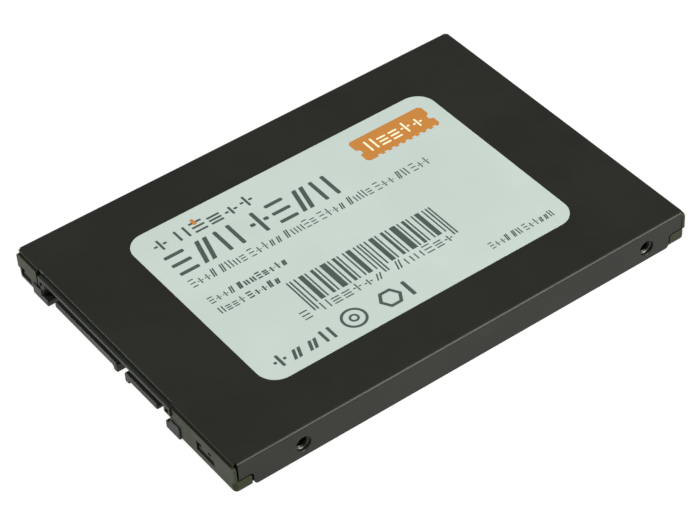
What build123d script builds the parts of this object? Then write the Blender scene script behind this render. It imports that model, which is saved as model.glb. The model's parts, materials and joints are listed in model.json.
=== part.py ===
from build123d import *
import os

# A 2.5-inch, 7 mm high solid state drive.  Millimetres.  +Z is up (label side), the edge
# connector faces -Y, and the origin is under the middle of the whole drive, on its base.

# ---------------------------------------------------------------- driving dimensions
case_width = 69.85
case_length = 100.1
cover_top = 6.92  # height of the painted cover; the label brings the drive to 7.00
label_top = 7.0
sheet = 0.65  # thickness of both steel pressings
bend_radius = 0.6  # outside radius of the cover's two long bends
plug_proud = 0.3  # how far the plug stands out of the case's front face
past = 1.0  # how far a cutting shape runs past what it cuts

front_y = -(case_length - plug_proud) / 2
rear_y = front_y + case_length
middle_y = (front_y + rear_y) / 2
half_width = case_width / 2
ceiling = cover_top - sheet

# Screw holes, M3, where the 2.5-inch drive standard puts them, within its tolerance.
screw_radius = 1.5
hole_rows = [front_y + distance for distance in (14.2, 90.8)]
side_hole_height = 3.0
base_hole_spacing = 61.72
collar_radius = 1.95
side_collar_reach = 1.1  # how far a side collar stands in from the cover's wall
base_collar_top = 2.0
mouth_rounding = 0.28

# Cover.
plate_setback = 0.38  # ends of the top plate, behind the outside of the tray's end walls
plate_end_rounding = 0.45
lip_rounding = 0.15
side_wall_setback = 0.95  # ends of the long walls and of their bends, behind the same
relief_width = 0.7  # notch beside each end of a bend
side_wall_bottom = 0.15
notch_height = 3.15
notch_length = 3.9
notch_rounding = 0.8
lip_setback = 0.54  # front edge of the top plate over the plug, behind the front face
lip_inset = 0.5  # from each end of the plug's opening to the ends of that set-back edge
leaf_thickness = 0.5
leaf_gap = 0.08  # between a hook's leaf and the tray's end wall
leaf_bottom = 0.9
leaf_overlap = 0.3  # how far a leaf reaches past each end of its window
pad_reach = 0.45  # how far a leaf's raised pad stands out into the window
pad_gap = 0.1  # between the pad and the edges of the window
slot_depth = 1.15  # how far the slots reach down from the window's top

# Base tray: floor, two end walls, low corners that fill the cover's notches, and side
# walls that stand inside the cover's.
tray_half_width = half_width - 0.73
tray_side_height = 5.4
tray_edge_radius = 0.5
corner_half_width = half_width - 0.08
corner_length = 3.55
corner_height = 2.7
corner_radius = 0.9
corner_top_rounding = 0.55
end_wall_top = ceiling - 0.25
end_wall_half_width = half_width - 0.12
end_wall_rounding = 0.7
opening_left = -28.0
opening_right = 16.2
opening_rounding = 0.35
step_left = (-29.6, 2.6)  # X and height of the steps that clear the ears of the plug
step_right = (18.65, 3.0)
# Each window: X of its ends, its bottom and top, and X of the ends of the slots in the
# pad that stands in it.
front_left_window = ((-33.7, -30.3), (1.3, 3.35), ((-33.6, -33.0),))
right_window = ((23.6, 28.9), (2.0, 4.25), ((23.7, 24.7), (26.6, 27.6)))
rear_left_window = ((-28.9, -23.6), (2.0, 4.25), ((-27.6, -26.6), (-24.7, -23.7)))
slot_clearance = 0.35
bead_depth = 0.35
bead_taper = 30
bead_centres = (-14.0, 14.0)
bead_size = (15.0, 66.0)
bead_corner = 3.0
film_thickness = 0.1
film_size = (54.0, 84.0)
film_middle_y = 2.0

# Label.
label_size = (46.8, 68.7)
label_centre = (0.2, 0.1)
label_corner = 4.0

# Circuit board.
board_bottom = 2.1
board_thickness = 1.0
board_top = board_bottom + board_thickness
board_half_width = 32.2
board_front = -47.2
board_rear = 47.6
board_corner = 0.8
board_screw_places = [(x, y) for y in (-43.0, 33.0) for x in (-29.5, 29.5)]
board_hole_radius = 1.1
standoff_radius = 1.9
board_thread_radius = 0.8
board_thread_bottom = 0.5
screw_head_radius = 1.7
screw_head_height = 0.9
screw_recess = (1.5, 0.32)
screw_recess_depth = 0.5

# Plug: sizes, pitch and places of the 22-way serial-ATA device plug.
tongue_bottom = 2.27
tongue_top = 3.5
tongue_rounding = 0.35
plug_front = front_y - plug_proud
plug_back_wall = -45.7
plug_body_front = -44.7
plug_body_rear = -42.4
hood_left = -26.85
hood_right = 16.1
hood_bottom = 5.35
hood_top = 5.97
power_tongue = (-21.495, -0.925)
signal_tongue = (1.485, 11.895)
key_width = 1.3
key_drop = 0.88
left_wall_inside = -26.1
right_wall_inside = 15.55
plug_floor_clearance = 0.1
plug_room = 0.3  # clearance round the plug in the tray and the board
well_opening = (-24.0, 14.2)  # X of the deeper opening in the tray under the tongues
pocket_block_left = (-24.95, 3.9)  # inner edge and underside of the blocks at the hood's ends
pocket_block_right = (14.25, 4.05)
pocket_block_rear = -48.1
pocket_depth = 1.2
pocket_half_width = 0.5
pocket_sill = 0.3  # plastic under a pocket
pocket_height = 0.9
hood_rounding = 0.12
end_wall_front = plug_front + 0.3
ear_back = -47.6
ear_bottom = 0.15
ear_rounding = 0.3
ear_edge = 0.12  # chamfer of the ears' front edges
# Each ear: X of its outer end, of its step and of its inner end, its height, and the
# height of its lower step.
left_ear = (-29.5, -26.4, -24.3, 2.5, 1.5)
right_ear = (18.55, 15.5, 14.3, 2.88, 1.95)
contact_pitch = 1.27
contact_width = 0.84
contact_thickness = 0.15
contact_margin = 0.33  # plastic beside the outermost contacts
contact_tips = (0.5, 1.0)  # behind the front of the tongues, for early and late contacts
contact_riser = (-45.5, -44.8)  # Y of its foot at the blade, and of its top at the board
contact_bend = 0.1  # how far the riser's upper face stands in front of its lower face
contact_tail_reach = 1.4
power_contact_count = 15
signal_contact_count = 7
lock_inset = 0.9
lock_half_thickness = 0.15
lock_blade = (-44.3, -42.8, 4.6)  # Y of its front and rear, and its top
lock_foot = (-43.7, -41.0, 3.6)

# Packages and other components on the board.
laminate_thickness = 0.3
mould_setback = 0.15  # from the edge of a package's laminate to its moulding
mould_taper = 5
dimple_radius = 0.4
dimple_inset = 1.2
dimple_depth = 0.08
lead_thickness = 0.25
lead_standoff = 0.1
flash_size = (18.0, 14.0, 1.0)
flash_columns = (-13.0, 13.0)
flash_rows = [-5.6 + 15.2 * row for row in range(4)]
controller_size = (17.0, 17.0, 1.2)
controller_place = (0.0, -27.5)
controller_pad = (14.0, 14.0)
flash_pad = (14.0, 56.0)
inductor_size = (4.0, 4.0, 2.0)
inductor_corner = 0.7
ceramic_size = (1.6, 0.8, 0.8)
resistor_size = (0.5, 1.0, 0.35)


def spaced(first, step, count):
    """Evenly spaced places along one direction."""
    return [first + step * index for index in range(count)]


def box_between(low, high, mode=Mode.ADD):
    """A block given by its lowest and highest corners, in the part being built."""
    middle = [(a + b) / 2 for a, b in zip(low, high)]
    size = [b - a for a, b in zip(low, high)]
    with Locations(tuple(middle)):
        Box(*size, mode=mode)


# ---------------------------------------------------------------- outer case


def cut_side_walls():
    """Outline of both long walls: short of the ends, notched over the tray's corners."""
    wall_front = front_y + side_wall_setback
    wall_rear = rear_y - side_wall_setback
    notch_front = front_y + notch_length
    notch_rear = rear_y - notch_length
    for wall_start in (-half_width - sheet, half_width - sheet):
        with BuildSketch(Plane.YZ.offset(wall_start)) as below_wall:
            with BuildLine():
                FilletPolyline(
                    (wall_front - past, -past),
                    (wall_front - past, notch_height),
                    (notch_front, notch_height),
                    (notch_front, side_wall_bottom),
                    (notch_rear, side_wall_bottom),
                    (notch_rear, notch_height),
                    (wall_rear + past, notch_height),
                    (wall_rear + past, -past),
                    radius=notch_rounding,
                    close=True,
                )
            make_face()
        extrude(below_wall.sketch, amount=2 * sheet, mode=Mode.SUBTRACT)
        for low_y, high_y in ((front_y - past, wall_front), (wall_rear, rear_y + past)):
            box_between(
                (wall_start, low_y, -past),
                (wall_start + 2 * sheet, high_y, ceiling),
                mode=Mode.SUBTRACT,
            )


def trim_plate():
    """Notch the plate beside the bends, set its edge back over the plug, break its ends."""
    with BuildSketch(Plane.XY.offset(ceiling)) as trimmings:
        with Locations((0, middle_y)):
            with GridLocations(case_width, case_length, 2, 2):
                Rectangle(2 * relief_width, 2 * side_wall_setback)
        with Locations((opening_left + lip_inset, front_y)):
            Rectangle(
                opening_right - opening_left - 2 * lip_inset,
                lip_setback,
                align=(Align.MIN, Align.MIN),
            )
    extrude(trimmings.sketch, amount=2 * sheet, mode=Mode.SUBTRACT)


def add_hook(face_y, inward, window):
    """A leaf inside an end wall, with a slotted pad that catches in a window of the wall."""
    (left, right), (bottom, top), slots = window
    leaf_outside = face_y + inward * (sheet + leaf_gap)
    leaf_inside = leaf_outside + inward * leaf_thickness
    pad_tip = leaf_outside - inward * pad_reach
    low_y, high_y = sorted((leaf_outside, leaf_inside))
    box_between(
        (left - leaf_overlap, low_y, leaf_bottom), (right + leaf_overlap, high_y, ceiling)
    )
    low_y, high_y = sorted((pad_tip, leaf_inside))
    box_between(
        (left + pad_gap, low_y, bottom + pad_gap), (right - pad_gap, high_y, top - pad_gap)
    )
    for low_x, high_x in slots:
        box_between((low_x, low_y, top - slot_depth), (high_x, high_y, top), mode=Mode.SUBTRACT)


def add_side_holes():
    """Burred and tapped screw holes in both long walls."""
    places = [(row, side_hole_height) for row in hole_rows]
    for side in (-1, 1):
        with BuildSketch(Plane.YZ.offset(side * (half_width - sheet))) as collars:
            with Locations(*places):
                Circle(collar_radius)
        extrude(collars.sketch, amount=-side * side_collar_reach)
        with BuildSketch(Plane.YZ.offset(side * half_width)) as bores:
            with Locations(*places):
                Circle(screw_radius)
        depth = sheet + side_collar_reach
        extrude(bores.sketch, amount=-side * depth, mode=Mode.SUBTRACT)


def is_hole_mouth(edge):
    """True for the outer rim of a side screw hole."""
    if edge.geom_type != GeomType.CIRCLE:
        return False
    right_size = abs(edge.radius - screw_radius) < 0.01
    return right_size and abs(abs(edge.center().X) - half_width) < 0.01


def make_top_cover():
    """Folded steel cover: top plate, two long walls, and hooks that snap into the tray."""
    plate_length = case_length - 2 * plate_setback
    lip_y = front_y + lip_setback
    with BuildPart() as cover:
        with BuildSketch(Plane.XY):
            with Locations((0, middle_y)):
                Rectangle(case_width, plate_length)
        extrude(amount=cover_top)
        long_edges = cover.faces().sort_by(Axis.Z)[-1].edges().filter_by(Axis.Y)
        fillet(long_edges, radius=bend_radius)
        with BuildSketch(Plane.XY):
            with Locations((0, middle_y)):
                Rectangle(case_width - 2 * sheet, case_length)
        extrude(amount=ceiling, mode=Mode.SUBTRACT)
        cut_side_walls()
        trim_plate()
        plate_edges = cover.faces().sort_by(Axis.Z)[-1].edges().filter_by(Axis.X)
        long_edges = plate_edges.filter_by(lambda edge: edge.length > 2 * relief_width)
        over_plug = long_edges.filter_by(lambda edge: abs(edge.center().Y - lip_y) < 0.01)
        at_ends = long_edges.filter_by(lambda edge: abs(edge.center().Y - lip_y) > 0.01)
        fillet(over_plug, radius=lip_rounding)
        fillet(at_ends, radius=plate_end_rounding)
        add_hook(front_y, 1, front_left_window)
        add_hook(front_y, 1, right_window)
        add_hook(rear_y, -1, rear_left_window)
        add_hook(rear_y, -1, right_window)
        add_side_holes()
        fillet(cover.edges().filter_by(is_hole_mouth), radius=mouth_rounding)
    return cover.part


def make_corner_block(outer_y, inner_y):
    """Low end of the tray, outside and solid, with rounded corners and lower edges."""
    with BuildPart() as block:
        box_between(
            (-corner_half_width, min(outer_y, inner_y), 0),
            (corner_half_width, max(outer_y, inner_y), corner_height),
        )
        upright = block.edges().filter_by(Axis.Z)
        outer_upright = upright.filter_by(lambda edge: abs(edge.center().Y - outer_y) < 0.01)
        lower = block.faces().sort_by(Axis.Z)[0].edges()
        outer_lower = lower.filter_by(lambda edge: abs(edge.center().Y - inner_y) > 0.01)
        fillet(outer_upright + outer_lower, radius=corner_radius)
        upper = block.faces().sort_by(Axis.Z)[-1].edges()
        inner_upper = upper.filter_by(lambda edge: abs(edge.center().Y - inner_y) < 0.01)
        fillet(inner_upper, radius=corner_top_rounding)
    return block.part


def make_tray_middle():
    """Outside of the long middle of the tray, solid, with rounded lower edges."""
    with BuildPart() as middle:
        box_between(
            (-tray_half_width, front_y + corner_length / 2, 0),
            (tray_half_width, rear_y - corner_length / 2, tray_side_height),
        )
        lower = middle.faces().sort_by(Axis.Z)[0].edges().filter_by(Axis.Y)
        fillet(lower, radius=tray_edge_radius)
    return middle.part


def hollow_tray():
    """Inside of the tray, down to its floor."""
    for low_y, high_y in (
        (front_y + sheet, front_y + corner_length - sheet),
        (rear_y - corner_length + sheet, rear_y - sheet),
    ):
        half = corner_half_width - sheet
        box_between((-half, low_y, sheet), (half, high_y, cover_top), mode=Mode.SUBTRACT)
    half = tray_half_width - sheet
    box_between(
        (-half, front_y + sheet, sheet),
        (half, rear_y - sheet, cover_top),
        mode=Mode.SUBTRACT,
    )


def add_end_walls():
    """Flat end walls, above the rounded corners."""
    for plane_y in (front_y + sheet, rear_y):
        with BuildSketch(Plane.XZ.offset(-plane_y)) as wall:
            with Locations((0, corner_height)):
                Rectangle(
                    2 * end_wall_half_width,
                    end_wall_top - corner_height,
                    align=(Align.CENTER, Align.MIN),
                )
            fillet(wall.vertices().group_by(Axis.Y)[-1], radius=end_wall_rounding)
        extrude(wall.sketch, amount=sheet)


def cut_front_opening():
    """Opening of the front wall for the plug, stepped where its ears come through."""
    with BuildSketch(Plane.XZ.offset(-(front_y + 1.5 * sheet))) as opening:
        with BuildLine():
            FilletPolyline(
                (step_left[0], -past),
                step_left,
                (opening_left, step_left[1]),
                (opening_left, cover_top + past),
                (opening_right, cover_top + past),
                (opening_right, step_right[1]),
                step_right,
                (step_right[0], -past),
                radius=opening_rounding,
                close=True,
            )
        make_face()
    extrude(opening.sketch, amount=2.5 * sheet, mode=Mode.SUBTRACT)


def cut_windows():
    """Windows in the end walls, for the hooks of the cover."""
    for plane_y, windows in (
        (front_y + sheet, (front_left_window, right_window)),
        (rear_y, (rear_left_window, right_window)),
    ):
        with BuildSketch(Plane.XZ.offset(-plane_y)) as openings:
            for (left, right), (bottom, top), _ in windows:
                with Locations((left, bottom)):
                    Rectangle(right - left, top - bottom, align=(Align.MIN, Align.MIN))
        extrude(openings.sketch, amount=sheet, mode=Mode.SUBTRACT)


def cut_tray_openings():
    """Room for the plug, for the cover's side collars, and for the standoffs."""
    ear_room = (step_left[0], step_right[0], ear_back + plug_room / 2)
    tongue_room = (*well_opening, plug_back_wall + plug_room)
    for low_x, high_x, high_y in (ear_room, tongue_room):
        box_between(
            (low_x, front_y + sheet, -past),
            (high_x, high_y, ceiling),
            mode=Mode.SUBTRACT,
        )

    slot_radius = collar_radius + slot_clearance
    for wall_start in (-tray_half_width - sheet / 2, tray_half_width - 1.5 * sheet):
        with BuildSketch(Plane.YZ.offset(wall_start)) as slots:
            with Locations(*[(row, side_hole_height) for row in hole_rows]):
                Circle(slot_radius)
                Rectangle(
                    2 * slot_radius, tray_side_height, align=(Align.CENTER, Align.MIN)
                )
        extrude(slots.sketch, amount=2 * sheet, mode=Mode.SUBTRACT)

    with BuildSketch(Plane.XY) as standoff_holes:
        with Locations(*board_screw_places):
            RegularPolygon(standoff_radius, 6, major_radius=False)
    extrude(standoff_holes.sketch, amount=sheet, mode=Mode.SUBTRACT)


def make_base_tray():
    """Pressed steel tray that holds the board and carries the four base screw holes."""
    base_holes = [
        (x, row)
        for x in (-base_hole_spacing / 2, base_hole_spacing / 2)
        for row in hole_rows
    ]
    bead_places = [(x, middle_y) for x in bead_centres]
    outside = (
        make_corner_block(front_y, front_y + corner_length),
        make_corner_block(rear_y, rear_y - corner_length),
        make_tray_middle(),
    )
    with BuildPart() as tray:
        for block in outside:
            add(block)
        hollow_tray()
        add_end_walls()
        cut_front_opening()
        cut_windows()

        # Two long stiffening beads, raised into the tray.
        with BuildSketch(Plane.XY.offset(sheet)):
            with Locations(*bead_places):
                RectangleRounded(*bead_size, bead_corner)
        extrude(amount=bead_depth, taper=bead_taper)
        with BuildSketch(Plane.XY):
            with Locations(*bead_places):
                RectangleRounded(*bead_size, bead_corner)
        extrude(amount=bead_depth, taper=bead_taper, mode=Mode.SUBTRACT)

        cut_tray_openings()

        # Base screw holes, each with a burred collar inside.
        with BuildSketch(Plane.XY.offset(sheet)):
            with Locations(*base_holes):
                Circle(collar_radius)
        extrude(amount=base_collar_top - sheet)
        with BuildSketch(Plane.XY):
            with Locations(*base_holes):
                Circle(screw_radius)
        extrude(amount=base_collar_top, mode=Mode.SUBTRACT)
    return tray.part


def make_top_label():
    """Thin self-adhesive label with rounded corners, on the top plate."""
    with BuildPart() as label:
        with BuildSketch(Plane.XY.offset(cover_top)):
            with Locations(label_centre):
                RectangleRounded(*label_size, label_corner)
        extrude(amount=label_top - cover_top)
    return label.part


# ---------------------------------------------------------------- board and its fasteners


def make_circuit_board():
    """Full-length board, notched round the plug and round the case's screw collars."""
    notch_reach = half_width - base_hole_spacing / 2 + screw_radius + collar_radius
    with BuildPart() as board:
        with BuildSketch(Plane.XY.offset(board_bottom)):
            with Locations((0, (board_front + board_rear) / 2)):
                RectangleRounded(2 * board_half_width, board_rear - board_front, board_corner)
            with Locations((hood_left - plug_room, board_front - past)):
                Rectangle(
                    hood_right - hood_left + 2 * plug_room,
                    plug_body_front - board_front + past,
                    align=(Align.MIN, Align.MIN),
                    mode=Mode.SUBTRACT,
                )
            with Locations(*[(x, row) for x in (-half_width, half_width) for row in hole_rows]):
                RectangleRounded(
                    2 * notch_reach,
                    2 * (collar_radius + screw_radius),
                    board_corner,
                    mode=Mode.SUBTRACT,
                )
            with Locations(*board_screw_places):
                Circle(board_hole_radius, mode=Mode.SUBTRACT)
        extrude(amount=board_thickness)
    return board.part


def make_standoffs():
    """Clinched hexagonal standoffs, flush with the underside, tapped M1.6 from above."""
    with BuildPart() as standoffs:
        with BuildSketch(Plane.XY):
            with Locations(*board_screw_places):
                RegularPolygon(standoff_radius, 6, major_radius=False)
        extrude(amount=sheet)
        with BuildSketch(Plane.XY.offset(sheet)):
            with Locations(*board_screw_places):
                Circle(standoff_radius)
        extrude(amount=board_bottom - sheet)
        with BuildSketch(Plane.XY.offset(board_thread_bottom)):
            with Locations(*board_screw_places):
                Circle(board_thread_radius)
        extrude(amount=board_bottom, mode=Mode.SUBTRACT)
    return standoffs.part


def make_board_screws():
    """Four M1.6 pan-head screws that hold the board on its standoffs."""
    tip_clearance = 0.3
    head_rounding = 0.35
    with BuildPart() as screws:
        with BuildSketch(Plane.XY.offset(board_top)):
            with Locations(*board_screw_places):
                Circle(screw_head_radius)
        extrude(amount=screw_head_height)
        fillet(screws.faces().sort_by(Axis.Z)[-4:].edges(), radius=head_rounding)
        with BuildSketch(Plane.XY.offset(board_top)):
            with Locations(*board_screw_places):
                Circle(board_thread_radius)
        extrude(amount=board_thread_bottom + tip_clearance - board_top)
        with BuildSketch(Plane.XY.offset(board_top + screw_head_height)):
            with Locations(*board_screw_places):
                Rectangle(*screw_recess)
                Rectangle(*reversed(screw_recess))
        extrude(amount=-screw_recess_depth, mode=Mode.SUBTRACT)
    return screws.part


def make_insulating_film():
    """Polyester film that lies on the beads and keeps the board off the tray."""
    with BuildPart() as film:
        with BuildSketch(Plane.XY.offset(sheet + bead_depth)):
            with Locations((0, film_middle_y)):
                Rectangle(*film_size)
        extrude(amount=film_thickness)
    return film.part


# ---------------------------------------------------------------- plug


def contact_outline(tip_y):
    """Closed side view of one contact: blade under the tongue, riser, tail on the board."""
    tail_rear = plug_body_rear + contact_tail_reach
    blade_low = tongue_bottom - contact_thickness
    riser_foot_y, riser_top_y = contact_riser
    return [
        (tip_y, blade_low),
        (riser_foot_y, blade_low),
        (riser_top_y, board_top),
        (tail_rear, board_top),
        (tail_rear, board_top + contact_thickness),
        (riser_top_y - contact_bend, board_top + contact_thickness),
        (riser_foot_y - contact_bend, tongue_bottom),
        (tip_y, tongue_bottom),
    ]


def make_contacts(first_edge, count, early):
    """A row of contacts; those listed in early reach further forward and mate first."""
    with BuildPart() as contacts:
        for index, low_x in enumerate(spaced(first_edge, contact_pitch, count)):
            early_tip, late_tip = contact_tips
            tip_y = plug_front + (early_tip if index in early else late_tip)
            with BuildSketch(Plane.YZ.offset(low_x)):
                with BuildLine():
                    Polyline(*contact_outline(tip_y), close=True)
                make_face()
            extrude(amount=contact_width)
    return contacts.part


def make_hold_downs():
    """Two tinned board locks that carry the pull of the cable into the board."""
    with BuildPart() as locks:
        for x in (hood_left + lock_inset, hood_right - lock_inset):
            low_x, high_x = x - lock_half_thickness, x + lock_half_thickness
            for front, rear, top in (lock_blade, lock_foot):
                box_between((low_x, front, board_top), (high_x, rear, top))
    return locks.part


def make_ear(outer_x, step_x, inner_x, height, ledge):
    """Stepped block at one end of the plug, with its front edges broken."""
    with BuildPart() as ear:
        with BuildSketch(Plane.XZ.offset(-ear_back)):
            with BuildLine():
                FilletPolyline(
                    (outer_x, ear_bottom),
                    (outer_x, height),
                    (step_x, height),
                    (step_x, ledge),
                    (inner_x, ledge),
                    (inner_x, ear_bottom),
                    radius=ear_rounding,
                    close=True,
                )
            make_face()
        extrude(amount=ear_back - plug_front)
        chamfer(ear.faces().sort_by(Axis.Y)[0].edges(), length=ear_edge)
    return ear.part


def make_tongue(far_x, key_x):
    """One tongue, with the key that hangs from its end at key_x, and softened edges."""
    key_inner_x = key_x + (key_width if key_x < far_x else -key_width)
    with BuildPart() as tongue:
        with BuildSketch(Plane.XZ.offset(-plug_back_wall)):
            with BuildLine():
                FilletPolyline(
                    (far_x, tongue_bottom),
                    (far_x, tongue_top),
                    (key_x, tongue_top),
                    (key_x, tongue_bottom - key_drop),
                    (key_inner_x, tongue_bottom - key_drop),
                    (key_inner_x, tongue_bottom),
                    radius=tongue_rounding,
                    close=True,
                )
            make_face()
        extrude(amount=plug_back_wall - plug_front)
        chamfer(tongue.faces().sort_by(Axis.Y)[0].edges(), length=tongue_rounding / 2)
    return tongue.part


def add_pocket_block(low_x, high_x, underside):
    """Square block under one end of the hood, with a square pocket in its front."""
    box_between((low_x, plug_front, underside), (high_x, pocket_block_rear, hood_bottom))
    centre_x = (low_x + high_x) / 2
    box_between(
        (centre_x - pocket_half_width, plug_front, underside + pocket_sill),
        (
            centre_x + pocket_half_width,
            plug_front + pocket_depth,
            underside + pocket_sill + pocket_height,
        ),
        mode=Mode.SUBTRACT,
    )


def make_connector_housing(held_pieces):
    """Moulded plug: hood, two tongues with keys, end walls, ears, and the rear body."""
    wall_bottom = sheet + plug_floor_clearance
    separate_shapes = (
        make_ear(*left_ear),
        make_ear(*right_ear),
        make_tongue(*power_tongue),
        make_tongue(signal_tongue[1], signal_tongue[0]),
    )
    with BuildPart() as housing:
        box_between(
            (hood_left, plug_front, hood_bottom), (hood_right, plug_back_wall, hood_top)
        )
        front_edges = housing.edges().filter_by(Axis.X).group_by(Axis.Y)[0]
        fillet(front_edges, radius=hood_rounding)

        # Back of the well, and the body that sits on the board.
        box_between(
            (hood_left, plug_back_wall, wall_bottom),
            (hood_right, plug_body_front, hood_top),
        )
        box_between(
            (hood_left, plug_body_front, board_top),
            (hood_right, plug_body_rear, hood_top),
        )

        # End walls of the well, and the pocketed blocks in its upper front corners.
        box_between(
            (hood_left, end_wall_front, wall_bottom),
            (left_wall_inside, plug_back_wall, hood_bottom),
        )
        box_between(
            (right_wall_inside, end_wall_front, wall_bottom),
            (hood_right, plug_back_wall, hood_bottom),
        )
        add_pocket_block(hood_left, *pocket_block_left)
        add_pocket_block(pocket_block_right[0], hood_right, pocket_block_right[1])

        for shape in separate_shapes:
            add(shape)
        for piece in held_pieces:
            add(piece, mode=Mode.SUBTRACT)
    return housing.part


# ---------------------------------------------------------------- components on the board


def make_package(place, size):
    """Moulded chip on a laminate base, with a dimple over its first terminal."""
    width, length, height = size
    with BuildPart() as package:
        with BuildSketch(Plane.XY.offset(board_top)):
            with Locations(place):
                Rectangle(width, length)
        extrude(amount=laminate_thickness)
        with BuildSketch(Plane.XY.offset(board_top + laminate_thickness)):
            with Locations(place):
                Rectangle(width - 2 * mould_setback, length - 2 * mould_setback)
        extrude(amount=height - laminate_thickness, taper=mould_taper)
        corner = (
            place[0] - width / 2 + dimple_inset,
            place[1] - length / 2 + dimple_inset,
        )
        with BuildSketch(Plane.XY.offset(board_top + height)):
            with Locations(corner):
                Circle(dimple_radius)
        extrude(amount=-dimple_depth, mode=Mode.SUBTRACT)
    return package.part


def make_leaded_chip(place, body, lead_places, lead_size):
    """Small moulded chip with flat leads along two sides, as one piece."""
    half_x, half_y = lead_size[0] / 2, lead_size[1] / 2
    with BuildPart() as chip:
        with BuildSketch(Plane.XY.offset(board_top + lead_standoff)):
            with Locations(place):
                Rectangle(body[0], body[1])
        extrude(amount=body[2] - lead_standoff, taper=mould_taper)
        for x, y in lead_places:
            box_between(
                (x - half_x, y - half_y, board_top),
                (x + half_x, y + half_y, board_top + lead_thickness),
            )
    return chip.part


def make_blocks(places, size, bottom=board_top):
    """A set of equal small blocks, each its own solid, standing on one level."""
    with BuildPart() as blocks:
        with Locations(*[(x, y, bottom + size[2] / 2) for x, y in places]):
            Box(*size)
    return blocks.part


def make_inductors(places):
    """Shielded power inductors: square ferrite blocks with rounded corners."""
    with BuildPart() as inductors:
        with BuildSketch(Plane.XY.offset(board_top)):
            with Locations(*places):
                RectangleRounded(inductor_size[0], inductor_size[1], inductor_corner)
        extrude(amount=inductor_size[2])
    return inductors.part


def make_ceramic_capacitors():
    """Decoupling capacitors, by the chips on the top and under them on the underside."""
    between_flash = [(0, y) for y in spaced(-9.0, 4.0, 14)]
    by_controller = [(x, y) for x in (-11.2, 11.2) for y in spaced(-34.0, 2.2, 6)]
    underneath = [(x, y) for x in flash_columns for y in spaced(-4.0, 6.0, 8)]
    with BuildPart() as capacitors:
        add(make_blocks(between_flash + by_controller, ceramic_size))
        add(make_blocks(underneath, ceramic_size, bottom=board_bottom - ceramic_size[2]))
    return capacitors.part


def make_chip_resistors():
    """Small resistors behind the plug, by the regulator and at the right-hand edge."""
    behind_plug = [(x, -39.4) for x in spaced(2.5, 1.2, 8)]
    by_regulator = [(x, -20.6) for x in spaced(-30.0, 1.2, 6)]
    at_edge = [(25.0, y) for y in spaced(-30.0, 2.0, 8)]
    return make_blocks(behind_plug + by_regulator + at_edge, resistor_size)


# ---------------------------------------------------------------- the whole drive

# Contacts that mate first, counted from the left of each row.
first_power_contacts = (3, 4, 5, 9, 11)
first_signal_contacts = (0, 3, 6)

pieces = {
    "top_cover": make_top_cover(),
    "base_tray": make_base_tray(),
    "top_label": make_top_label(),
    "circuit_board": make_circuit_board(),
    "board_standoffs": make_standoffs(),
    "board_screws": make_board_screws(),
    "insulating_film": make_insulating_film(),
    "power_contacts": make_contacts(
        power_tongue[0] + contact_margin, power_contact_count, first_power_contacts
    ),
    "signal_contacts": make_contacts(
        signal_tongue[0] + key_width + contact_margin,
        signal_contact_count,
        first_signal_contacts,
    ),
    "connector_board_locks": make_hold_downs(),
}
held_by_housing = [
    pieces["power_contacts"],
    pieces["signal_contacts"],
    pieces["connector_board_locks"],
]
pieces["connector_housing"] = make_connector_housing(held_by_housing)

# Chips: places are centres on the board, sizes are width, length and height.
pieces["controller_chip"] = make_package(controller_place, controller_size)
for column, x in enumerate(flash_columns):
    for row, y in enumerate(flash_rows):
        number = column * len(flash_rows) + row + 1
        pieces[f"flash_chip_{number}"] = make_package((x, y), flash_size)
pieces["dram_chip"] = make_package((19.0, -27.5), (9.0, 13.0, 1.0))
pieces["firmware_memory_chip"] = make_leaded_chip(
    (18.5, -38.5),
    (5.2, 5.2, 1.6),
    [(x, y) for x in spaced(16.6, 1.27, 4) for y in (-41.5, -35.5)],
    (0.4, 1.4),
)
pieces["power_regulator_chip"] = make_package((-19.0, -27.5), (5.0, 5.0, 0.9))
pieces["input_protection_chip"] = make_leaded_chip(
    (-19.0, -37.5),
    (4.0, 3.0, 1.2),
    [(x, y) for x in spaced(-20.3, 1.3, 3) for y in (-39.4, -35.6)],
    (0.4, 1.0),
)
pieces["power_inductors"] = make_inductors([(-26.0, -27.5), (-19.0, -19.5), (-12.5, -36.5)])
pieces["bulk_capacitors"] = make_blocks(
    [(-26.2, y) for y in spaced(-10.0, 9.0, 4)], (4.3, 7.3, 1.9)
)
pieces["input_fuse"] = make_blocks([(-25.5, -37.5)], (3.2, 1.6, 0.6))
pieces["crystal_oscillator"] = make_blocks([(0.0, -38.4)], (3.2, 2.5, 0.8))
pieces["ceramic_capacitors"] = make_ceramic_capacitors()
pieces["chip_resistors"] = make_chip_resistors()

# Thermal pads fill the gap from the chips to the top plate.
pad_bottom = board_top + controller_size[2]
pieces["controller_thermal_pad"] = make_blocks(
    [controller_place], (*controller_pad, ceiling - pad_bottom), bottom=pad_bottom
)
pad_bottom = board_top + flash_size[2]
flash_middle = (flash_rows[0] + flash_rows[-1]) / 2
for side, x in zip(("left", "right"), flash_columns):
    pieces[f"flash_thermal_pad_{side}"] = make_blocks(
        [(x, flash_middle)], (*flash_pad, ceiling - pad_bottom), bottom=pad_bottom
    )

os.makedirs("parts", exist_ok=True)
for name, piece in pieces.items():
    piece.label = name
    export_step(piece, f"parts/{name}.step")
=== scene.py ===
"""The looks of a 2.5-inch solid state drive: paint, label artwork, threads, light and camera.

Metres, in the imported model's frame: +Z is up through the label, and the plug faces -Y.
"""

import json
import math

import bmesh
import bpy
from mathutils import Matrix, Vector


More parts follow.
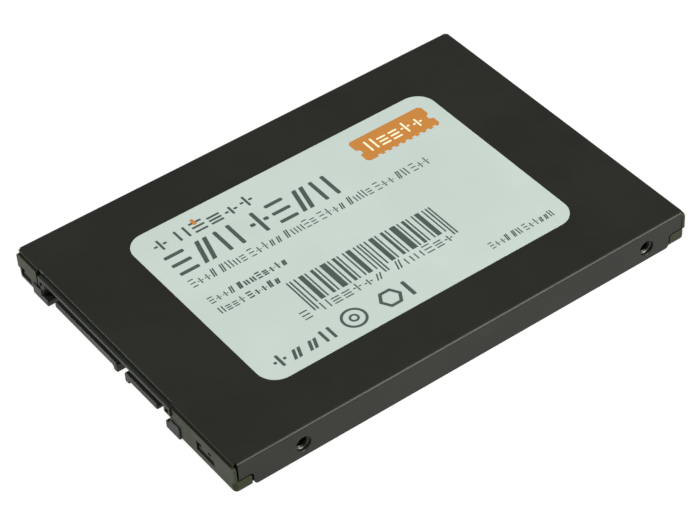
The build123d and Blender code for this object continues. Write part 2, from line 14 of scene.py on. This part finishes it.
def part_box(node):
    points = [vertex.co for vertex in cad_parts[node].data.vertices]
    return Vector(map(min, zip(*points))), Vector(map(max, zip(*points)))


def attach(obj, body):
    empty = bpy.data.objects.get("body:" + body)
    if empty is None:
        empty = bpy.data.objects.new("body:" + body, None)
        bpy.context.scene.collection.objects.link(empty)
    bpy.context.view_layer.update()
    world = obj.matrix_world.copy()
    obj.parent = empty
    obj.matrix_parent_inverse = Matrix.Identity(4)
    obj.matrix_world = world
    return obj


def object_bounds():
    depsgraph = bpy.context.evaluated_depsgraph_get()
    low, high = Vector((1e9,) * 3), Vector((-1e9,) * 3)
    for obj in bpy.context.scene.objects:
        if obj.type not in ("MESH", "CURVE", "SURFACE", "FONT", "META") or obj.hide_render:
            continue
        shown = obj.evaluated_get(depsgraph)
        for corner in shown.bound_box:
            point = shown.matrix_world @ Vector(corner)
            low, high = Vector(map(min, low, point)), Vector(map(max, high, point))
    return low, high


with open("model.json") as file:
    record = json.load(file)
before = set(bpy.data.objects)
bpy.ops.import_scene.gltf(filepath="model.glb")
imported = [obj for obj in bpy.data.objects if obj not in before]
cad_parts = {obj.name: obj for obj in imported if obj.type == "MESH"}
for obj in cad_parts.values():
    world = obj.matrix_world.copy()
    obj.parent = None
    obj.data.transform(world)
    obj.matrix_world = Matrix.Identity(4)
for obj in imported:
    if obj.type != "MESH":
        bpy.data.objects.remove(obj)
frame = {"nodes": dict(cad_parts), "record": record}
cad_low, cad_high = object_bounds()

MM = 0.001
BODY = "root"
nodes_by_name = frame["nodes"]
record = frame["record"]


# ---------------------------------------------------------------- material helpers


class Surface:
    """A principled material, with short names for the few nodes that this scene uses."""

    def __init__(self, name, roughness=0.5, metallic=0.0, specular=0.5):
        self.material = bpy.data.materials.new(name)
        self.material.use_nodes = True
        self.tree = self.material.node_tree
        self.shader = self.tree.nodes["Principled BSDF"]
        self.shader.inputs["Roughness"].default_value = roughness
        self.shader.inputs["Metallic"].default_value = metallic
        self.shader.inputs["Specular IOR Level"].default_value = specular
        self.place = self.tree.nodes.new("ShaderNodeTexCoord").outputs["Object"]

    def link(self, source, target):
        self.tree.links.new(source, target)

    def noise(self, grain_mm, detail=3.0, stretch=(1, 1, 1)):
        """Noise whose features are about grain_mm across; stretch lengthens them."""
        mapping = self.tree.nodes.new("ShaderNodeMapping")
        mapping.inputs["Scale"].default_value = [1 / value for value in stretch]
        self.link(self.place, mapping.inputs["Vector"])
        noise = self.tree.nodes.new("ShaderNodeTexNoise")
        noise.inputs["Scale"].default_value = 1 / (grain_mm * MM)
        noise.inputs["Detail"].default_value = detail
        self.link(mapping.outputs["Vector"], noise.inputs["Vector"])
        return noise.outputs["Fac"]

    def specks(self, spacing_mm, radius_mm):
        """1 on small scattered specks, in about a third of the cells, and 0 elsewhere."""
        cells = self.tree.nodes.new("ShaderNodeTexVoronoi")
        cells.inputs["Scale"].default_value = 1 / (spacing_mm * MM)
        self.link(self.place, cells.inputs["Vector"])
        edge = radius_mm / spacing_mm
        spot = self.remap(cells.outputs["Distance"], 0.6 * edge, edge, to_low=1.0, to_high=0.0)
        split = self.tree.nodes.new("ShaderNodeSeparateColor")
        self.link(cells.outputs["Color"], split.inputs["Color"])
        empty_share = 0.66
        chosen = self.remap(split.outputs["Red"], empty_share - 0.02, empty_share + 0.02)
        return self.math("MULTIPLY", spot, chosen)

    def remap(self, source, low, high, to_low=0.0, to_high=1.0):
        """Maps low..high of a value to to_low..to_high, clamped."""
        node = self.tree.nodes.new("ShaderNodeMapRange")
        node.interpolation_type = "SMOOTHSTEP"
        for name, value in (
            ("From Min", low),
            ("From Max", high),
            ("To Min", to_low),
            ("To Max", to_high),
        ):
            node.inputs[name].default_value = value
        self.link(source, node.inputs["Value"])
        return node.outputs["Result"]

    def math(self, operation, first, second):
        """One arithmetic node on two values (or sockets)."""
        node = self.tree.nodes.new("ShaderNodeMath")
        node.operation = operation
        for socket, value in zip(node.inputs, (first, second)):
            if isinstance(value, (int, float)):
                socket.default_value = value
            else:
                self.link(value, socket)
        return node.outputs["Value"]

    def blend(self, amount, first, second):
        """Mixes two colours (or sockets) by a value."""
        factor_input, first_colour_input, second_colour_input, colour_output = 0, 6, 7, 2
        node = self.tree.nodes.new("ShaderNodeMix")
        node.data_type = "RGBA"
        self.link(amount, node.inputs[factor_input])
        for socket, value in (
            (node.inputs[first_colour_input], first),
            (node.inputs[second_colour_input], second),
        ):
            if isinstance(value, tuple):
                socket.default_value = (*value, 1.0)
            else:
                self.link(value, socket)
        return node.outputs[colour_output]

    def colour(self, source):
        """Sets the base colour from a socket."""
        self.link(source, self.shader.inputs["Base Color"])

    def roughness(self, source):
        """Sets the roughness from a socket."""
        self.link(source, self.shader.inputs["Roughness"])

    def bump(self, height, depth_mm, strength):
        """Adds relief on top of any relief that is there already."""
        node = self.tree.nodes.new("ShaderNodeBump")
        node.inputs["Strength"].default_value = strength
        node.inputs["Distance"].default_value = depth_mm * MM
        self.link(height, node.inputs["Height"])
        previous = self.shader.inputs["Normal"].links
        if previous:
            self.link(previous[0].from_socket, node.inputs["Normal"])
        self.link(node.outputs["Normal"], self.shader.inputs["Normal"])


def painted_steel(name, dark, light, sheen, sheen_tint, sheen_roughness):
    """Satin paint on steel: fine orange peel, faint clouding, and a few specks of dust."""
    dust = (0.075, 0.078, 0.066)
    surface = Surface(name, specular=sheen)
    surface.shader.inputs["Specular Tint"].default_value = (*sheen_tint, 1.0)
    clouds = surface.noise(grain_mm=14, detail=4)
    orange_peel = surface.noise(grain_mm=0.22, detail=2)
    waves = surface.noise(grain_mm=5, detail=1)
    wear = surface.noise(grain_mm=2.5, detail=5)
    tone = surface.blend(surface.remap(clouds, 0.35, 0.65), dark, light)
    specks = surface.specks(spacing_mm=17, radius_mm=0.16)
    surface.colour(surface.blend(specks, tone, dust))
    dullest = sheen_roughness + 0.06
    surface.roughness(surface.remap(wear, 0.3, 0.7, to_low=sheen_roughness, to_high=dullest))
    surface.bump(orange_peel, depth_mm=0.012, strength=0.5)
    surface.bump(waves, depth_mm=0.03, strength=0.25)
    return surface.material


def moulded_plastic(name, dark, light, roughness):
    """Glass-filled moulding: speckled fibres, slight flow streaks, fine texture."""
    surface = Surface(name, roughness=roughness, specular=0.3)
    speckle = surface.noise(grain_mm=0.12, detail=4, stretch=(3, 1, 1))
    streak = surface.noise(grain_mm=2.0, detail=3, stretch=(4, 1, 1))
    tone = surface.blend(surface.remap(speckle, 0.42, 0.68), dark, light)
    deeper = tuple(0.8 * value for value in dark)
    shading = surface.remap(streak, 0.5, 0.75, to_low=0.0, to_high=0.5)
    surface.colour(surface.blend(shading, tone, deeper))
    surface.roughness(surface.remap(streak, 0.3, 0.7, roughness - 0.06, roughness + 0.08))
    surface.bump(speckle, depth_mm=0.01, strength=0.6)
    return surface.material


def plated_metal(name, bright, dull, roughness):
    """Plated metal with faint rolling lines and tarnish."""
    surface = Surface(name, roughness=roughness, metallic=1.0)
    lines = surface.noise(grain_mm=0.05, detail=3, stretch=(1, 14, 1))
    tarnish = surface.noise(grain_mm=1.6, detail=4)
    surface.colour(surface.blend(surface.remap(tarnish, 0.45, 0.8), bright, dull))
    surface.roughness(surface.remap(lines, 0.3, 0.7, roughness - 0.05, roughness + 0.12))
    surface.bump(lines, depth_mm=0.004, strength=0.5)
    return surface.material


def coated_paper(name, pale, shaded):
    """Label paper: matt coat, faint fibre and a slight unevenness of tone."""
    surface = Surface(name, roughness=0.48, specular=0.35)
    fibre = surface.noise(grain_mm=0.35, detail=5, stretch=(1, 2.5, 1))
    patch = surface.noise(grain_mm=18, detail=2)
    waves = surface.noise(grain_mm=7, detail=2)
    tone = surface.blend(surface.remap(patch, 0.35, 0.65), pale, shaded)
    fleck = tuple(0.93 * value for value in shaded)
    fleck_amount = surface.remap(fibre, 0.55, 0.8, to_low=0.0, to_high=0.5)
    surface.colour(surface.blend(fleck_amount, tone, fleck))
    surface.roughness(surface.remap(fibre, 0.3, 0.7, to_low=0.42, to_high=0.56))
    surface.bump(fibre, depth_mm=0.006, strength=0.5)
    surface.bump(waves, depth_mm=0.05, strength=0.2)
    return surface.material


def printed_ink(name, full, thin, roughness):
    """Ink on the label: denser and thinner spots, a little grain."""
    surface = Surface(name, roughness=roughness, specular=0.3)
    spots = surface.noise(grain_mm=0.25, detail=4)
    surface.colour(surface.blend(surface.remap(spots, 0.4, 0.75), full, thin))
    surface.roughness(surface.remap(spots, 0.3, 0.7, roughness - 0.05, roughness + 0.08))
    surface.bump(spots, depth_mm=0.003, strength=0.5)
    return surface.material


def soft_pad(name, pale, dark):
    """Filled silicone pad: crumbly, dull."""
    surface = Surface(name, roughness=0.8)
    crumbs = surface.noise(grain_mm=0.6, detail=5)
    surface.colour(surface.blend(surface.remap(crumbs, 0.4, 0.7), pale, dark))
    surface.bump(crumbs, depth_mm=0.06, strength=0.6)
    return surface.material


def make_materials():
    """A material for each of the record's slots, one for the threads, three for the inks."""
    return {
        "cover_paint": painted_steel(
            "cover_paint",
            dark=(0.0095, 0.0100, 0.0078),
            light=(0.0120, 0.0125, 0.0100),
            sheen=0.18,
            sheen_tint=(0.97, 1.0, 0.88),
            sheen_roughness=0.3,
        ),
        "tray_finish": painted_steel(
            "tray_finish",
            dark=(0.021, 0.0255, 0.012),
            light=(0.026, 0.031, 0.0155),
            sheen=0.08,
            sheen_tint=(0.93, 1.0, 0.75),
            sheen_roughness=0.34,
        ),
        "label_film": coated_paper(
            "label_film", pale=(0.425, 0.490, 0.450), shaded=(0.405, 0.470, 0.430)
        ),
        "solder_mask": moulded_plastic(
            "solder_mask", dark=(0.01, 0.09, 0.04), light=(0.015, 0.12, 0.05), roughness=0.35
        ),
        "standoff_steel": plated_metal(
            "standoff_steel", bright=(0.42, 0.42, 0.4), dull=(0.25, 0.25, 0.23), roughness=0.35
        ),
        "screw_steel": plated_metal(
            "screw_steel", bright=(0.5, 0.5, 0.48), dull=(0.3, 0.3, 0.28), roughness=0.3
        ),
        "polyester_film": moulded_plastic(
            "polyester_film", dark=(0.4, 0.37, 0.2), light=(0.45, 0.42, 0.24), roughness=0.3
        ),
        "contact_gold": plated_metal(
            "contact_gold", bright=(0.83, 0.58, 0.22), dull=(0.6, 0.38, 0.14), roughness=0.25
        ),
        "tinned_metal": plated_metal(
            "tinned_metal", bright=(0.6, 0.6, 0.58), dull=(0.4, 0.4, 0.38), roughness=0.35
        ),
        "plug_plastic": moulded_plastic(
            "plug_plastic",
            dark=(0.013, 0.0155, 0.0115),
            light=(0.021, 0.024, 0.018),
            roughness=0.48,
        ),
        "mould_compound": moulded_plastic(
            "mould_compound", dark=(0.02, 0.02, 0.02), light=(0.035, 0.035, 0.035), roughness=0.6
        ),
        "ferrite": moulded_plastic(
            "ferrite", dark=(0.05, 0.05, 0.05), light=(0.09, 0.09, 0.09), roughness=0.7
        ),
        "tantalum_case": moulded_plastic(
            "tantalum_case", dark=(0.5, 0.3, 0.06), light=(0.58, 0.37, 0.1), roughness=0.5
        ),
        "ceramic_body": moulded_plastic(
            "ceramic_body", dark=(0.33, 0.24, 0.15), light=(0.42, 0.32, 0.22), roughness=0.55
        ),
        "thermal_pad": soft_pad(
            "thermal_pad", pale=(0.35, 0.45, 0.5), dark=(0.28, 0.37, 0.42)
        ),
        "thread_steel": plated_metal(
            "thread_steel", bright=(0.06, 0.06, 0.053), dull=(0.03, 0.03, 0.027), roughness=0.3
        ),
        "dark_ink": printed_ink(
            "dark_ink", full=(0.045, 0.06, 0.052), thin=(0.065, 0.085, 0.075), roughness=0.5
        ),
        "orange_ink": printed_ink(
            "orange_ink", full=(0.42, 0.165, 0.026), thin=(0.46, 0.19, 0.036), roughness=0.42
        ),
        "cream_ink": printed_ink(
            "cream_ink", full=(0.85, 0.74, 0.52), thin=(0.8, 0.66, 0.42), roughness=0.5
        ),
    }


materials = make_materials()


def paint_frame():
    """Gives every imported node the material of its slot."""
    for part in record["subparts"]:
        node = nodes_by_name[part["node"]]
        material = materials[part["material_slot"]]
        for index in range(len(node.material_slots)):
            node.material_slots[index].material = material


# ---------------------------------------------------------------- mesh helpers


def finish_piece(name, mesh, material):
    """Puts a bmesh in the scene as a piece that rides on the drive."""
    bmesh.ops.recalc_face_normals(mesh, faces=mesh.faces)
    data = bpy.data.meshes.new(name)
    mesh.to_mesh(data)
    mesh.free()
    data.materials.append(materials[material])
    piece = bpy.data.objects.new(name, data)
    bpy.context.scene.collection.objects.link(piece)
    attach(piece, BODY)


def add_prism(mesh, outline, bottom, top):
    """A flat closed prism over an outline of (x, y) points."""
    lower = [mesh.verts.new((x, y, bottom)) for x, y in outline]
    upper = [mesh.verts.new((x, y, top)) for x, y in outline]
    mesh.faces.new(list(reversed(lower)))
    mesh.faces.new(upper)
    count = len(outline)
    for index in range(count):
        after = (index + 1) % count
        mesh.faces.new((lower[index], lower[after], upper[after], upper[index]))


def rounded_outline(low, high, radius, steps=4):
    """Points round a rectangle with rounded corners."""
    corners = (
        (high[0] - radius, high[1] - radius, 0),
        (low[0] + radius, high[1] - radius, 90),
        (low[0] + radius, low[1] + radius, 180),
        (high[0] - radius, low[1] + radius, 270),
    )
    points = []
    for x, y, start in corners:
        for step in range(steps + 1):
            angle = math.radians(start + 90 * step / steps)
            points.append((x + radius * math.cos(angle), y + radius * math.sin(angle)))
    return points


# ---------------------------------------------------------------- label artwork


label_low, label_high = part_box("top_label")
INK_THICKNESS = 0.006 * MM
INK_SINK = 0.01 * MM

# The kinds of stand-in mark: three bars, two posts, two slanted strokes, a parted cross.
BARS, POSTS, SLANTS, CROSS = range(4)


class Print:
    """Ink on the label, laid out in millimetres the way the label reads.

    "along" runs from the label's plug-side edge towards the rear (+Y), and "down" runs
    from its left edge to its right (+X), which is down the page. Level 1 lies over level 0.
    """

    def __init__(self, level=0):
        self.mesh = bmesh.new()
        self.bottom = label_high.z - INK_SINK
        self.top = label_high.z + (1 + level) * INK_THICKNESS

    def at(self, along, down):
        """The point of the model at a place on the label."""
        return (label_low.x + down * MM, label_low.y + along * MM)

    def block(self, along, down, width, height, corner=0.0):
        """A rectangle, with rounded corners where corner is not zero."""
        low = self.at(along, down)
        high = self.at(along + width, down + height)
        radius = corner * MM
        if radius:
            outline = rounded_outline(low, high, radius)
        else:
            outline = [low, (high[0], low[1]), high, (low[0], high[1])]
        add_prism(self.mesh, outline, self.bottom, self.top)

    def ring(self, along, down, size, stroke, sides):
        """A closed band round a regular polygon that fits in size."""
        outer, inner = [], []
        centre = self.at(along + size / 2, down + size / 2)
        for step in range(sides):
            angle = 2 * math.pi * (step + 0.5) / sides
            for points, reach in ((outer, size / 2), (inner, size / 2 - stroke)):
                points.append(
                    (
                        centre[0] + reach * MM * math.cos(angle),
                        centre[1] + reach * MM * math.sin(angle),
                    )
                )
        for step in range(sides):
            after = (step + 1) % sides
            outline = [outer[step], outer[after], inner[after], inner[step]]
            add_prism(self.mesh, outline, self.bottom, self.top)

    def slant(self, along, down, width, height, stroke):
        """A stroke that leans from its top right to its bottom left."""
        outline = (
            (along + width - stroke, down),
            (along + width, down),
            (along + stroke, down + height),
            (along, down + height),
        )
        add_prism(self.mesh, [self.at(*point) for point in outline], self.bottom, self.top)

    def stand_in(self, along, down, width, height, stroke, kind):
        """One abstract mark in place of a letter: a few separate strokes."""
        corner = 0.3 * stroke
        if kind == BARS:
            pitch = (height - stroke) / 2
            for row in range(3):
                self.block(along, down + row * pitch, width, stroke, corner)
        elif kind == POSTS:
            inset = 0.06 * width
            for side in (inset, width - inset - stroke):
                self.block(along + side, down, stroke, height, corner)
        elif kind == SLANTS:
            slant_width = 0.6 * width
            for side in (0, width - slant_width):
                self.slant(along + side, down, slant_width, height, 1.1 * stroke)
        else:
            arm = (width - stroke) / 2 - 0.6 * stroke
            middle = down + (height - stroke) / 2
            self.block(along + (width - stroke) / 2, down, stroke, height, corner)
            self.block(along, middle, arm, stroke, corner)
            self.block(along + width - arm, middle, arm, stroke, corner)

    def words(self, along, down, height, end, lengths, weight, first_kind):
        """A greeked line from along to end: a group of stand-in marks for each word.

        weight is the thickness of a stroke, as a fraction of the height. The kinds of the
        marks and the shorter marks follow a fixed pattern that starts at first_kind.
        """
        letter_gap, word_gap = 0.3, 0.75
        short_share = 0.76
        letters = sum(lengths)
        spaces = letter_gap * (letters - len(lengths)) + word_gap * (len(lengths) - 1)
        cell = (end - along) / (letters + spaces)
        stroke = weight * height
        for word, length in enumerate(lengths):
            for index in range(length):
                kind = (first_kind + index * 3 + word * 2 + index // 2) % 4
                short = index > 0 and (index * 5 + word) % 3 != 0
                drop = (1 - short_share) * height if short else 0.0
                self.stand_in(along, down + drop, cell, height - drop, stroke, kind)
                along += cell * (1 + letter_gap)
            along += cell * (word_gap - letter_gap)

    def finish(self, name, material):
        """Puts this ink in the scene as one piece."""
        finish_piece(name, self.mesh, material)


def make_label_text():
    """Greeked lines of text; no letters."""
    ink = Print()
    for along, down, height, end, lengths, weight, first_kind in (
        (3.95, 3.2, 3.0, 25.6, (1, 5), 0.17, CROSS),
        (3.7, 15.8, 2.2, 57.3, (4, 4, 5, 5, 4, 4, 3, 2, 3), 0.12, BARS),
        (3.8, 21.75, 1.8, 9.2, (4,), 0.15, BARS),
        (9.9, 21.75, 1.8, 20.5, (8,), 0.2, SLANTS),
        (3.8, 24.95, 1.8, 9.2, (4,), 0.15, POSTS),
        (9.9, 24.95, 1.8, 16.8, (5,), 0.2, BARS),
        (51.0, 42.25, 1.75, 65.5, (4, 2, 6), 0.14, BARS),
    ):
        ink.words(along, down, height, end, lengths, weight, first_kind)
    ink.finish("label_text", "dark_ink")


def make_label_heading():
    """Two large groups of stand-in marks."""
    ink = Print()
    top, height, stroke = 7.95, 6.1, 0.85
    for start, width, gap, kinds in (
        (3.7, 4.2, 1.0, (BARS, SLANTS, POSTS)),
        (20.9, 4.0, 0.9, (CROSS, BARS, SLANTS, POSTS)),
    ):
        for index, kind in enumerate(kinds):
            ink.stand_in(start + index * (width + gap), top, width, height, stroke, kind)
    ink.finish("label_heading", "dark_ink")


def make_label_bars():
    """A plain ruled pattern where a bar code would be; its widths only repeat."""
    ink = Print()
    start, end, top, height, guard_drop = 16.9, 49.1, 27.6, 7.3, 1.6
    narrow = 0.34
    widths = (narrow, 1.02, narrow, 0.68, narrow, 1.3, narrow, 0.68, narrow)
    gaps = (0.68, 0.36, 0.9, 0.42, 0.66, 0.4)
    middle = (start + end) / 2
    left_guard = (start, start + 2 * narrow)
    middle_guard = (middle - 0.5, middle + 0.18)
    right_guard = (end - 3 * narrow, end - narrow)
    for along in left_guard + middle_guard + right_guard:
        ink.block(along, top, narrow, height + guard_drop)
    for low, high in ((start + 1.6, middle - 1.0), (middle + 1.1, end - 1.5)):
        along, index = low, 0
        while along < high:
            width = min(widths[index % len(widths)], high - along)
            ink.block(along, top, width, height)
            along += width + gaps[index % len(gaps)]
            index += 1
    caption_top, caption_height, caption_weight = 35.3, 2.2, 0.13
    for low, high, length, first_kind in (
        (14.2, 15.9, 1, BARS),
        (start + 1.5, middle - 1.2, 6, POSTS),
        (middle + 1.6, end - 1.6, 6, SLANTS),
    ):
        ink.words(low, caption_top, caption_height, high, (length,), caption_weight, first_kind)
    ink.finish("label_bars", "dark_ink")


def make_label_marks():
    """Plain shapes in the places of the small marks at the foot of the label."""
    ink = Print()
    ink.words(
        along=3.6, down=41.2, height=3.1, end=16.4, lengths=(4,), weight=0.2, first_kind=CROSS
    )
    ink.ring(along=18.6, down=39.8, size=5.1, stroke=0.55, sides=28)
    ink.ring(along=20.15, down=41.35, size=2.0, stroke=0.45, sides=16)
    ink.ring(along=26.7, down=39.9, size=4.9, stroke=0.75, sides=6)
    ink.block(along=32.7, down=40.3, width=0.8, height=4.1, corner=0.2)
    ink.finish("label_marks", "dark_ink")


def badge_outline(ink):
    """A plate with a notch in each end and a row of teeth along its lower edge."""
    left, right, upper, lower = 48.35, 65.6, 3.5, 10.3
    notch_top, notch_bottom, notch_depth = 6.2, 7.9, 0.8
    floor_top, floor_bottom = notch_top + 0.6, notch_bottom - 0.3
    cut = 0.6
    tooth_pitch, tooth_depth, tooth_margin = 1.62, 0.45, 0.4
    gap_edge = lower - tooth_depth
    points = [(left + cut, upper), (right - cut, upper), (right, upper + cut)]
    points += [(right, notch_top), (right - notch_depth, floor_top)]
    points += [(right - notch_depth, floor_bottom), (right, notch_bottom)]
    points += [(right, lower - cut), (right - cut, lower)]
    along = right - cut - tooth_margin
    while along > left + 2 * tooth_pitch:
        next_tooth = along - tooth_pitch / 2
        points += [(along, lower), (along, gap_edge), (next_tooth, gap_edge), (next_tooth, lower)]
        along -= tooth_pitch
    points += [(left + cut, lower), (left, lower - cut)]
    points += [(left, notch_bottom), (left + notch_depth, floor_bottom)]
    points += [(left + notch_depth, floor_top), (left, notch_top), (left, upper + cut)]
    return [ink.at(along, down) for along, down in points]


def make_label_badge():
    """Orange badge, with stand-in marks in a lighter ink."""
    badge = Print()
    add_prism(badge.mesh, badge_outline(badge), badge.bottom, badge.top)
    badge.finish("label_badge", "orange_ink")
    light = Print(level=1)
    light.words(
        along=50.7, down=5.1, height=3.2, end=63.4, lengths=(5,), weight=0.13, first_kind=POSTS
    )
    light.finish("label_badge_words", "cream_ink")


def make_label_tick():
    """Small orange accent in the first line of text."""
    accent = Print(level=1)
    accent.block(along=13.1, down=2.4, width=0.7, height=1.7, corner=0.15)
    accent.finish("label_accent", "orange_ink")


# ---------------------------------------------------------------- threads


def make_thread(name, mouth, inward, radius, length):
    """A helical M3 thread ridge inside a bore; it fades out at both ends."""
    pitch = 0.5 * MM
    crest_radius = radius * 1.25 / 1.5
    root_radius = radius * 1.01
    half_root, half_crest = 0.44 * pitch, 0.09 * pitch
    steps_per_turn = 40
    fade_steps = 0.3 * steps_per_turn
    least_ridge = 0.02
    steps = int(length / pitch * steps_per_turn)
    inward = Vector(inward)
    side = inward.orthogonal().normalized()
    up = inward.cross(side)
    mesh = bmesh.new()
    rings = []
    for step in range(steps + 1):
        angle = 2 * math.pi * step / steps_per_turn
        outward = side * math.cos(angle) + up * math.sin(angle)
        travel = half_root + (length - 2 * half_root) * step / steps
        fade = min(1.0, step / fade_steps, (steps - step) / fade_steps)
        ridge = radius - (radius - crest_radius) * max(fade, least_ridge)
        ring = [
            mesh.verts.new(mouth + inward * (travel + shift) + outward * reach)
            for reach, shift in (
                (root_radius, -half_root),
                (ridge, -half_crest),
                (ridge, half_crest),
                (root_radius, half_root),
            )
        ]
        rings.append(ring)
    for first, second in zip(rings, rings[1:]):
        for index in range(4):
            after = (index + 1) % 4
            mesh.faces.new((first[index], first[after], second[after], second[index]))
    mesh.faces.new(rings[0])
    mesh.faces.new(list(reversed(rings[-1])))
    finish_piece(name, mesh, "thread_steel")


def hole_places(dims):
    """The holes of a mount, as (x, y) from its centre: a row of two along Y, or four."""
    if "spacing_y_mm" in dims:
        half_x, half_y = dims["spacing_x_mm"] * MM / 2, dims["spacing_y_mm"] * MM / 2
        return [(x, y) for x in (-half_x, half_x) for y in (-half_y, half_y)]
    half_y = dims["spacing_x_mm"] * MM / 2
    return [(0.0, -half_y), (0.0, half_y)]


def make_all_threads():
    """M3 threads in the side holes of the cover and in the base holes of the tray."""
    mounts = {mount["name"]: mount for mount in record["mounts"]}
    for name, prefix, length, skip, slot in (
        ("right_side_screws", "right", 1.4 * MM, 0.3 * MM, "cover_paint"),
        ("left_side_screws", "left", 1.4 * MM, 0.3 * MM, "cover_paint"),
        ("base_screws", "base", 2.0 * MM, 0.0, "tray_finish"),
    ):
        mount = mounts[name]
        radius = mount["dims"]["hole_r_mm"] * MM
        centre = Vector(mount["pos_m"])
        inward = -Vector(mount["axis"])
        for number, (x, y) in enumerate(hole_places(mount["dims"]), start=1):
            mouth = centre + Vector((x, y, 0)) + inward * skip
            make_thread(f"{prefix}_screw_thread_{number}", mouth, inward, radius, length)


# ---------------------------------------------------------------- light, floor and camera


def make_floor():
    """A wide, plain floor that glows a little, so it stays white under the drive."""
    mesh = bmesh.new()
    half, gap_below_drive = 2.0, 0.02 * MM
    level = cad_low.z - gap_below_drive
    corners = [(-half, -half), (half, -half), (half, half), (-half, half)]
    mesh.faces.new([mesh.verts.new((x, y, level)) for x, y in corners])
    data = bpy.data.meshes.new("floor")
    mesh.to_mesh(data)
    mesh.free()
    surface = Surface("floor_white", roughness=0.85, specular=0.1)
    surface.shader.inputs["Emission Color"].default_value = (1.0, 1.0, 1.0, 1.0)
    surface.shader.inputs["Emission Strength"].default_value = 0.92
    mottle = surface.remap(surface.noise(grain_mm=60, detail=2), 0.3, 0.7)
    surface.colour(surface.blend(mottle, (0.13, 0.13, 0.13), (0.12, 0.12, 0.12)))
    data.materials.append(surface.material)
    floor = bpy.data.objects.new("floor", data)
    bpy.context.scene.collection.objects.link(floor)


def make_world():
    """Surroundings: grey at and below the horizon, dimmest half-way up, bright overhead."""
    strength = 0.8
    world = bpy.data.worlds.new("studio")
    bpy.context.scene.world = world
    world.use_nodes = True
    tree = world.node_tree
    background = tree.nodes["Background"]
    direction = tree.nodes.new("ShaderNodeTexCoord").outputs["Generated"]
    split = tree.nodes.new("ShaderNodeSeparateXYZ")
    tree.links.new(direction, split.inputs["Vector"])
    ramp = tree.nodes.new("ShaderNodeValToRGB")
    horizon, half_way_up, overhead = ((grey, grey, grey, 1) for grey in (0.55, 0.42, 1.1))
    stops = ramp.color_ramp.elements
    stops[0].position, stops[0].color = 0.0, horizon
    stops[1].position, stops[1].color = 0.95, overhead
    stops.new(0.55).color = half_way_up
    tree.links.new(split.outputs["Z"], ramp.inputs["Fac"])
    tree.links.new(ramp.outputs["Color"], background.inputs["Color"])
    background.inputs["Strength"].default_value = strength


def direction_to(azimuth, elevation):
    """The unit vector at an azimuth from the front (-Y) towards +X, and an elevation."""
    turn, rise = math.radians(azimuth), math.radians(elevation)
    return Vector(
        (math.sin(turn) * math.cos(rise), -math.cos(turn) * math.cos(rise), math.sin(rise))
    )


def make_area_light(name, azimuth, elevation, distance, size, power):
    """A soft light that looks at the drive; size is its width and height."""
    data = bpy.data.lights.new(name, "AREA")
    data.shape = "RECTANGLE"
    data.size, data.size_y = size
    data.energy = power
    light = bpy.data.objects.new(name, data)
    back = direction_to(azimuth, elevation)
    light.location = back * distance
    light.rotation_mode = "QUATERNION"
    light.rotation_quaternion = back.to_track_quat("Z", "Y")
    bpy.context.scene.collection.objects.link(light)


def make_lights():
    """A key light on the long edge, a rim light on the plug's edge, and a weak fill."""
    for name, azimuth, elevation, distance, size, power in (
        ("key_light", 118, 27, 0.85, (0.35, 0.75), 11.0),
        ("rim_light", -42, 24, 1.0, (0.3, 0.6), 6.0),
        ("fill_light", 20, 55, 1.3, (0.9, 0.9), 0.6),
    ):
        make_area_light(name, azimuth, elevation, distance, size, power)


def make_camera():
    """Long lens, from over the near corner, slightly rolled."""
    azimuth, elevation, roll = 56.03, 42.54, math.radians(3.889)
    distance = 0.47028
    aim = Vector((0.26, -0.47, -0.71)) * MM
    back = direction_to(azimuth, elevation)
    level_right = direction_to(azimuth + 90, 0)
    level_up = back.cross(level_right)
    right = level_right * math.cos(roll) - level_up * math.sin(roll)
    up = level_right * math.sin(roll) + level_up * math.cos(roll)
    data = bpy.data.cameras.new("camera")
    data.sensor_width = 36.0
    data.lens = 131.88
    data.clip_start = 0.01
    data.clip_end = 20
    camera = bpy.data.objects.new("camera", data)
    turn = Matrix((right, up, back)).transposed().to_4x4()
    camera.matrix_world = Matrix.Translation(aim + back * distance) @ turn
    bpy.context.scene.collection.objects.link(camera)
    bpy.context.scene.camera = camera


# ---------------------------------------------------------------- the scene

paint_frame()
make_label_text()
make_label_heading()
make_label_bars()
make_label_marks()
make_label_badge()
make_label_tick()
make_all_threads()
make_floor()
make_world()
make_lights()
make_camera()
bpy.context.scene.view_settings.view_transform = "Standard"
